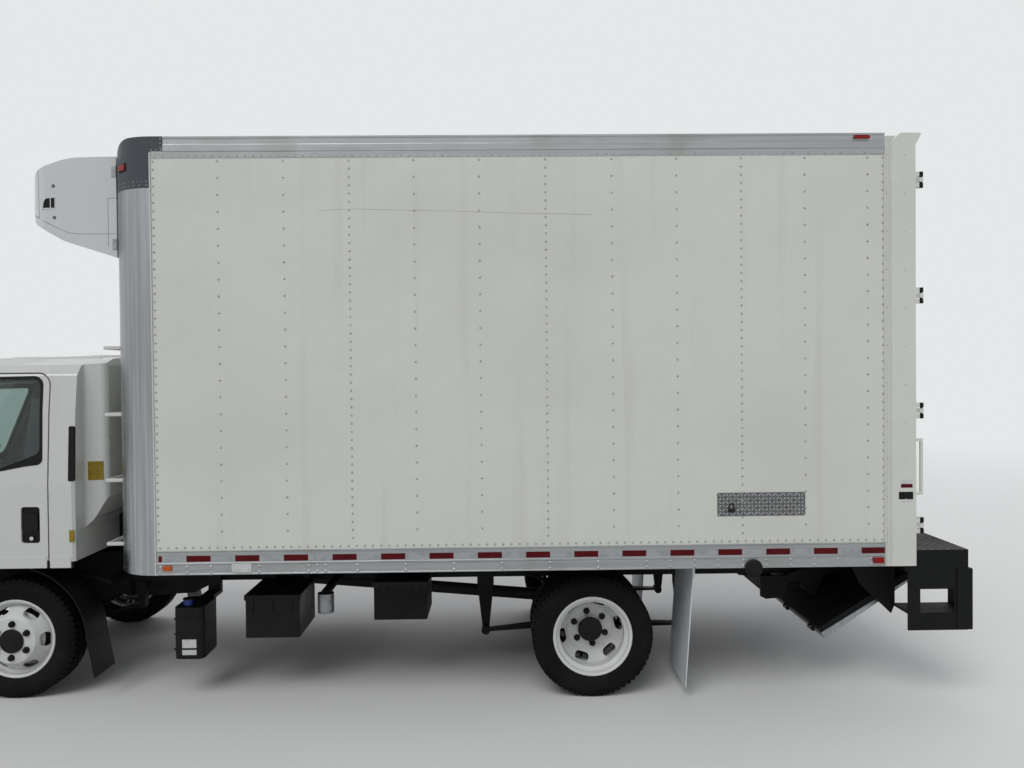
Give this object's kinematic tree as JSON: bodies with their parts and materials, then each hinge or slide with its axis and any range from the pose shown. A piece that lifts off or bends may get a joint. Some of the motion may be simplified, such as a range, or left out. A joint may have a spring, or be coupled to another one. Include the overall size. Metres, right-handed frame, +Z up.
{
  "type": "refrigerated truck",
  "caption": "Medium box truck with a tilting cab, steered front wheels, twin rear wheels, insulated box with nose cooling unit, swing doors and a fold-under tail-lift.",
  "frame": {"origin": "bottom centre of the bounding box, on the road", "axes": "+X to the rear of the truck, +Y to its right-hand side, +Z up"},
  "size_m": [7.434, 2.66, 3.6199],
  "materials": {
    "white_paint": "gloss",
    "black_steel": "satin",
    "grey_cast": "rough",
    "aluminium": "brushed",
    "panel_white": "satin",
    "charcoal_plastic": "textured",
    "black_plastic": "textured",
    "reefer_white": "gloss",
    "wheel_white": "gloss",
    "tyre": "matte",
    "glass": "clear",
    "lamp_glass": "clear",
    "lamp_red": "gloss",
    "seat_fabric": "woven",
    "grey_plastic": "textured",
    "flap_white": "smooth",
    "galvanized": "rough"
  },
  "bodies": {
    "chassis": {"air_intake": "black_plastic", "battery_box": "black_plastic", "cargo_corner_posts": "aluminium", "cargo_floor": "aluminium", "cargo_front_wall": "panel_white", "cargo_rails": "aluminium", "cargo_rear_frame": "white_paint", "cargo_roof": "panel_white", "cargo_wall_left": "panel_white", "cargo_wall_right": "panel_white", "def_tank": "black_plastic", "dock_bumpers": "black_steel", "driveline": "grey_cast", "engine": "grey_cast", "equipment_boxes": "black_steel", "evaporator": "reefer_white", "exhaust": "galvanized", "frame": "black_steel", "front_axle": "black_steel", "front_bumper": "white_paint", "fuel_tank": "black_steel", "leaf_springs": "black_steel", "lift_mount": "black_steel", "marker_lamps": "lamp_red", "mud_flaps": "flap_white", "mudguards": "black_plastic", "nose_cap": "charcoal_plastic", "nose_steps": "white_paint", "radiator": "grey_cast", "rear_axle": "black_steel", "rear_steps": "black_steel", "reefer_unit": "reefer_white"},
    "cab": {"cab_shell": "white_paint", "cab_glass": "glass", "seats": "seat_fabric", "dashboard": "grey_plastic", "headlamps": "lamp_glass", "mirrors": "black_plastic", "cab_sills": "black_plastic"},
    "cab_door_left": {"cab_door_left": "white_paint", "door_glass_left": "glass"},
    "cab_door_right": {"cab_door_right": "white_paint", "door_glass_right": "glass"},
    "knuckle_left": {"knuckle_left": "grey_cast"},
    "knuckle_right": {"knuckle_right": "grey_cast"},
    "wheel_front_left": {"wheel_front_left": "wheel_white", "tyre_front_left": "tyre"},
    "wheel_front_right": {"wheel_front_right": "wheel_white", "tyre_front_right": "tyre"},
    "wheel_rear_left": {"wheel_rear_left": "wheel_white", "tyre_rear_left": "tyre"},
    "wheel_rear_right": {"wheel_rear_right": "wheel_white", "tyre_rear_right": "tyre"},
    "cargo_door_left": {"cargo_door_left": "panel_white"},
    "cargo_door_right": {"cargo_door_right": "panel_white"},
    "lift_arms": {"lift_arms": "black_steel"},
    "lift_links": {"lift_links": "black_steel"},
    "lift_shackles": {"lift_shackles": "black_steel"},
    "lift_platform": {"lift_platform": "galvanized"},
    "lift_flap": {"lift_flap": "aluminium"}
  },
  "joints": [
    {"name": "cab_tilt", "type": "hinge", "parent": "chassis", "child": "cab", "pos_m": [-3.598, 0, 0.73], "axis": [0, -1, 0], "range_deg": [0, 45]},
    {"name": "cab_door_left_swing", "type": "hinge", "parent": "cab", "child": "cab_door_left", "pos_m": [-3.358, -1.008, 1.5], "axis": [0, 0, -1], "range_deg": [0, 70]},
    {"name": "cab_door_right_swing", "type": "hinge", "parent": "cab", "child": "cab_door_right", "pos_m": [-3.358, 1.008, 1.5], "axis": [0, 0, 1], "range_deg": [0, 70]},
    {"name": "steer_left", "type": "hinge", "parent": "chassis", "child": "knuckle_left", "pos_m": [-2.508, -0.715, 0.397], "axis": [0, 0, 1], "range_deg": [-40, 40]},
    {"name": "steer_right", "type": "hinge", "parent": "chassis", "child": "knuckle_right", "pos_m": [-2.508, 0.715, 0.397], "axis": [0, 0, 1], "range_deg": [-40, 40]},
    {"name": "wheel_front_left_spin", "type": "hinge", "parent": "knuckle_left", "child": "wheel_front_left", "pos_m": [-2.508, -0.833, 0.397], "axis": [0, 1, 0], "continuous": true},
    {"name": "wheel_front_right_spin", "type": "hinge", "parent": "knuckle_right", "child": "wheel_front_right", "pos_m": [-2.508, 0.833, 0.397], "axis": [0, 1, 0], "continuous": true},
    {"name": "wheel_rear_left_spin", "type": "hinge", "parent": "chassis", "child": "wheel_rear_left", "pos_m": [1.302, -0.825, 0.397], "axis": [0, 1, 0], "continuous": true},
    {"name": "wheel_rear_right_spin", "type": "hinge", "parent": "chassis", "child": "wheel_rear_right", "pos_m": [1.302, 0.825, 0.397], "axis": [0, 1, 0], "continuous": true},
    {"name": "cargo_door_left_swing", "type": "hinge", "parent": "chassis", "child": "cargo_door_left", "pos_m": [3.384, -1.212, 2.2], "axis": [0, 0, -1], "range_deg": [0, 250]},
    {"name": "cargo_door_right_swing", "type": "hinge", "parent": "chassis", "child": "cargo_door_right", "pos_m": [3.384, 1.212, 2.2], "axis": [0, 0, 1], "range_deg": [0, 250]},
    {"name": "lift_arms_swing", "type": "hinge", "parent": "chassis", "child": "lift_arms", "pos_m": [2.732, 0, 0.6], "axis": [0, 1, 0], "range_deg": [0, 55.5]},
    {"name": "lift_links_swing", "type": "hinge", "parent": "chassis", "child": "lift_links", "pos_m": [2.71949, 0, 0.52099], "axis": [0, 1, 0], "range_deg": [0, 55.5]},
    {"name": "lift_shackles_swing", "type": "hinge", "parent": "lift_arms", "child": "lift_shackles", "pos_m": [3.587, 0, 0.891], "axis": [0, 1, 0], "range_deg": [-55.5, 0]},
    {"name": "lift_platform_fold", "type": "hinge", "parent": "lift_shackles", "child": "lift_platform", "pos_m": [3.587, 0, 0.891], "axis": [0, -1, 0], "range_deg": [0, 149]},
    {"name": "lift_flap_fold", "type": "hinge", "parent": "lift_platform", "child": "lift_flap", "pos_m": [2.84313, 0, 0.34662], "axis": [0, 1, 0], "range_deg": [0, 180]}
  ],
  "couplings": [
    {"joint": "steer_right", "follows": "steer_left", "ratio": 1},
    {"joint": "lift_links_swing", "follows": "lift_arms_swing", "ratio": 1},
    {"joint": "lift_shackles_swing", "follows": "lift_arms_swing", "ratio": -1}
  ]
}
